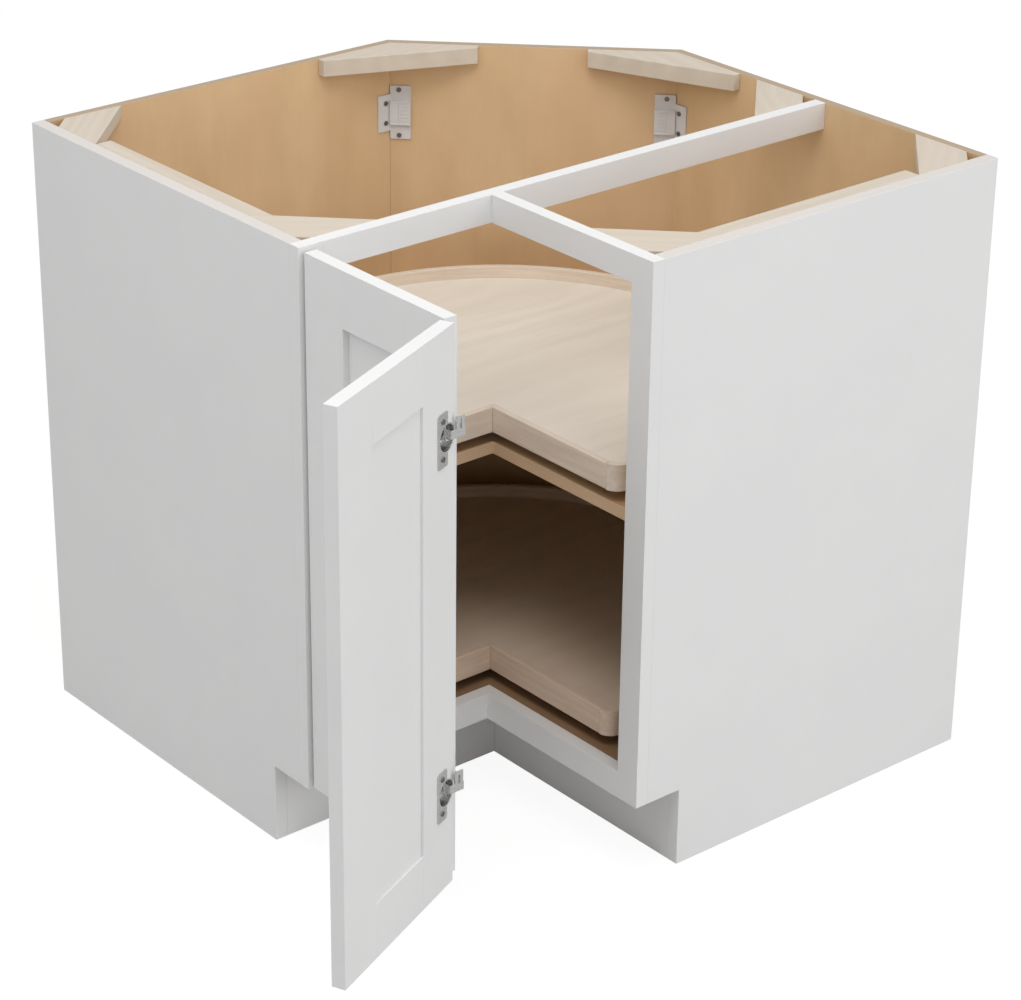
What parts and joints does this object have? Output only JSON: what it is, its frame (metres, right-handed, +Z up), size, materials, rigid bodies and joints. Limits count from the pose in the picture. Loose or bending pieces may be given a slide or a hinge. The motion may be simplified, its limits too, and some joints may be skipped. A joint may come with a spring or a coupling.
{
  "type": "corner carousel cabinet",
  "caption": "Corner base cabinet with pie-cut carousel trays and a folding bi-fold door, open-topped for a worktop.",
  "frame": {"origin": "the cabinet's back left corner on the floor, where the left end panel's outer face meets the wall behind the left leg", "axes": "+Z up; +X along the wall behind the left leg, towards the room's corner; +Y out of that wall face, so the left leg's front looks along -Y and the right leg's along -X"},
  "size_m": [1.1644, 1.011, 0.8763],
  "materials": {
    "painted_wood": "satin white paint on timber",
    "interior_ply": "clear-coated maple plywood",
    "pale_wood": "bare pale timber",
    "tray_wood": "clear-coated pale timber with open figure",
    "tray_rim_wood": "clear-coated bent and straight timber strip",
    "hinge_nickel": "nickel-plated pressed steel",
    "bearing_steel": "zinc-plated pressed steel",
    "ball_steel": "polished bearing balls",
    "screw_steel": "zinc-plated screws",
    "bracket_plastic": "moulded pale grey plastic"
  },
  "bodies": {
    "carcass": {"left_end_panel": "painted_wood", "right_end_panel": "painted_wood", "left_back_panel": "interior_ply", "right_back_panel": "interior_ply", "diagonal_back_panel": "interior_ply", "cabinet_floor": "interior_ply", "fixed_shelf": "interior_ply", "left_stile": "painted_wood", "right_stile": "painted_wood", "left_top_rail": "painted_wood", "right_top_rail": "painted_wood", "top_stretcher": "painted_wood", "left_bottom_rail": "painted_wood", "right_bottom_rail": "painted_wood", "left_toe_board": "painted_wood", "right_toe_board": "painted_wood", "left_top_cleat": "pale_wood", "right_top_cleat": "pale_wood", "front_left_block": "pale_wood", "front_right_block": "pale_wood", "back_left_block": "pale_wood", "back_right_block": "pale_wood", "stretcher_block": "pale_wood", "left_diagonal_block": "pale_wood", "right_diagonal_block": "pale_wood", "left_joint_bracket": "bracket_plastic", "right_joint_bracket": "bracket_plastic", "carcass_screws": "screw_steel", "upper_bearing_base": "bearing_steel", "lower_bearing_base": "bearing_steel", "bearing_balls": "ball_steel", "frame_hinge_arms": "hinge_nickel"},
    "upper_tray": {"upper_tray_board": "tray_wood", "upper_tray_arc_rim": "tray_rim_wood", "upper_tray_left_notch_rim": "tray_rim_wood", "upper_tray_right_notch_rim": "tray_rim_wood", "upper_bearing_plate": "bearing_steel", "upper_tray_screws": "screw_steel"},
    "lower_tray": {"lower_tray_board": "tray_wood", "lower_tray_arc_rim": "tray_rim_wood", "lower_tray_left_notch_rim": "tray_rim_wood", "lower_tray_right_notch_rim": "tray_rim_wood", "lower_bearing_plate": "bearing_steel", "lower_tray_screws": "screw_steel"},
    "first_leaf": {"first_leaf_hinge_stile": "painted_wood", "first_leaf_fold_stile": "painted_wood", "first_leaf_top_rail": "painted_wood", "first_leaf_bottom_rail": "painted_wood", "first_leaf_panel": "painted_wood", "frame_hinge_cups": "hinge_nickel", "fold_hinge_arms": "hinge_nickel", "first_leaf_screws": "screw_steel"},
    "second_leaf": {"second_leaf_fold_stile": "painted_wood", "second_leaf_free_stile": "painted_wood", "second_leaf_top_rail": "painted_wood", "second_leaf_bottom_rail": "painted_wood", "second_leaf_panel": "painted_wood", "fold_hinge_cups": "hinge_nickel", "second_leaf_screws": "screw_steel"}
  },
  "joints": [
    {"name": "door_swing", "type": "hinge", "parent": "carcass", "child": "first_leaf", "pos_m": [0.0165, -0.6208, 0.4938], "axis": [0, 0, 1], "range_deg": [-15, 90]},
    {"name": "leaf_fold", "type": "hinge", "parent": "first_leaf", "child": "second_leaf", "pos_m": [-0.0023, -0.8979, 0.4938], "axis": [0, 0, 1], "range_deg": [-23.5, 4]},
    {"name": "upper_tray_spin", "type": "hinge", "parent": "carcass", "child": "upper_tray", "pos_m": [0.44353, -0.47087, 0.527], "axis": [0, 0, 1], "range_deg": [-360, 360]},
    {"name": "lower_tray_spin", "type": "hinge", "parent": "carcass", "child": "lower_tray", "pos_m": [0.44353, -0.47087, 0.1689], "axis": [0, 0, 1], "range_deg": [-360, 360]}
  ],
  "couplings": [
    {"joint": "leaf_fold", "follows": "door_swing", "ratio": -0.2611}
  ]
}
